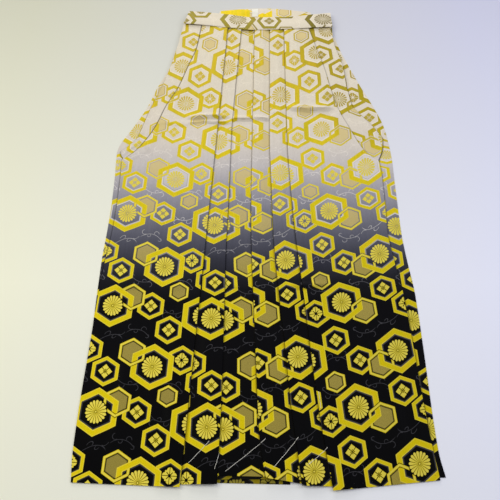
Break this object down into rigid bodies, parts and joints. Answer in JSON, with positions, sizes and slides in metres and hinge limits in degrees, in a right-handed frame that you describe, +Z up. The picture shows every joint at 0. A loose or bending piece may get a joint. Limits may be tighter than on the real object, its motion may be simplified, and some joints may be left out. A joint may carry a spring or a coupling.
{
  "type": "hakama trousers",
  "caption": "Pleated wide-legged trousers laid flat front side up, with a front waistband, a stiff back board and side openings.",
  "frame": {"origin": "middle of the footprint, on the surface that the garment lies on", "axes": "+Y from the hem to the waist along the garment's length, +X to the right as seen from the front, +Z up out of the surface"},
  "size_m": [0.5624, 0.9768, 0.0113],
  "materials": {
    "brocade": "satin jacquard with gold hexagons, ivory at the waist shading to black at the hem",
    "brocade_waist": "ivory satin jacquard with gold hexagons",
    "tie_cloth": "ivory satin, folded",
    "label_tape": "woven white tape, bare"
  },
  "bodies": {
    "root": {"back_left": "brocade", "back_right": "brocade", "side_flap_left": "brocade", "side_flap_right": "brocade", "front_left": "brocade", "front_right": "brocade", "waistband_front": "brocade_waist", "waistband_back": "brocade_waist", "back_board": "brocade_waist", "board_label": "label_tape", "tie_front_left": "tie_cloth", "tie_back_left": "tie_cloth", "tie_back_right": "tie_cloth", "tie_front_right": "tie_cloth"}
  },
  "joints": []
}
